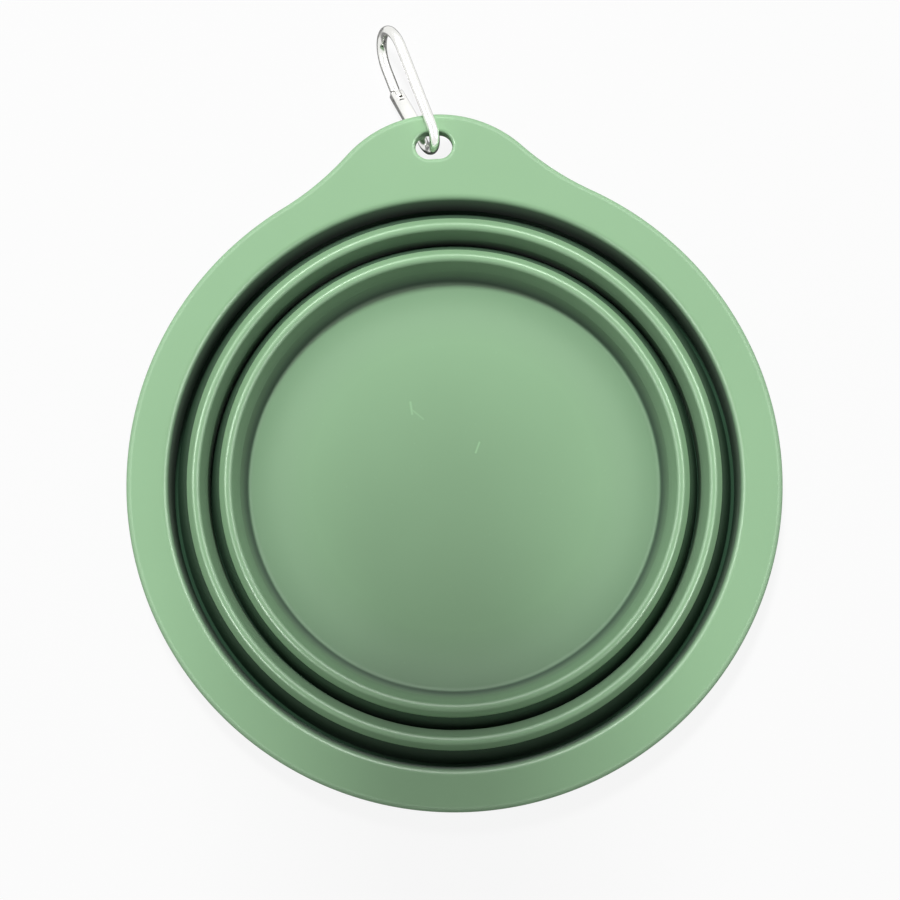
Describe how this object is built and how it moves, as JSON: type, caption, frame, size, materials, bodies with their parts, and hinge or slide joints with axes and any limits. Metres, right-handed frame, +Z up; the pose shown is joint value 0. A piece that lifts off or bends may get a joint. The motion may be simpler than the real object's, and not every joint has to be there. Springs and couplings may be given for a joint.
{
  "type": "collapsible bowl",
  "caption": "Round silicone bowl that folds flat along two rings, with a flat rim, a hang tab and a spring-gate snap hook through its slot.",
  "frame": {"origin": "centre of the base's flat underside, on the surface the bowl stands on", "axes": "+Z up out of the bowl, +Y from the centre towards the hang tab, +X to the right with the tab away from the viewer"},
  "size_m": [0.18, 0.2205, 0.0184],
  "materials": {
    "silicone": "soft matte moulded silicone, sage green",
    "silicone_web": "the same silicone, moulded thin so that it turns inside out",
    "plated_wire": "bright nickel plate on steel wire",
    "spring_wire": "bare spring steel"
  },
  "bodies": {
    "base": {"base_cup": "silicone", "lower_web": "silicone_web"},
    "middle": {"middle_ring": "silicone", "upper_web": "silicone_web"},
    "rim": {"rim_flange": "silicone"},
    "hook": {"hook_frame": "plated_wire"},
    "gate": {"gate": "plated_wire", "gate_pivot": "plated_wire", "latch_pin": "plated_wire", "gate_spring": "spring_wire"},
    "plunger": {"gate_plunger": "spring_wire"}
  },
  "joints": [
    {"name": "middle_rise", "type": "slide", "parent": "base", "child": "middle", "axis": [0, 0, 1], "range_m": [0, 0.02], "deforming": ["lower_web"]},
    {"name": "rim_rise", "type": "slide", "parent": "middle", "child": "rim", "axis": [0, 0, 1], "range_m": [0, 0.02], "deforming": ["upper_web"]},
    {"name": "hook_swing", "type": "hinge", "parent": "rim", "child": "hook", "pos_m": [-0.0024, 0.1006, 0.012], "axis": [0.9095, 0.2781, -0.309], "range_deg": [-90, 110]},
    {"name": "gate_hinge", "type": "hinge", "parent": "hook", "child": "gate", "pos_m": [-0.00389, 0.09977, 0.00687], "axis": [0.9095, 0.2781, -0.309], "range_deg": [0, 30], "stiffness_Nm_per_rad": 0.02, "springref_deg": -20.05},
    {"name": "plunger_slide", "type": "slide", "parent": "gate", "child": "plunger", "axis": [-0.3759, 0.8676, -0.3255], "range_m": [0, 0.0004]}
  ],
  "couplings": [
    {"joint": "plunger_slide", "follows": "gate_hinge", "m_per_rad": 0.00076}
  ]
}
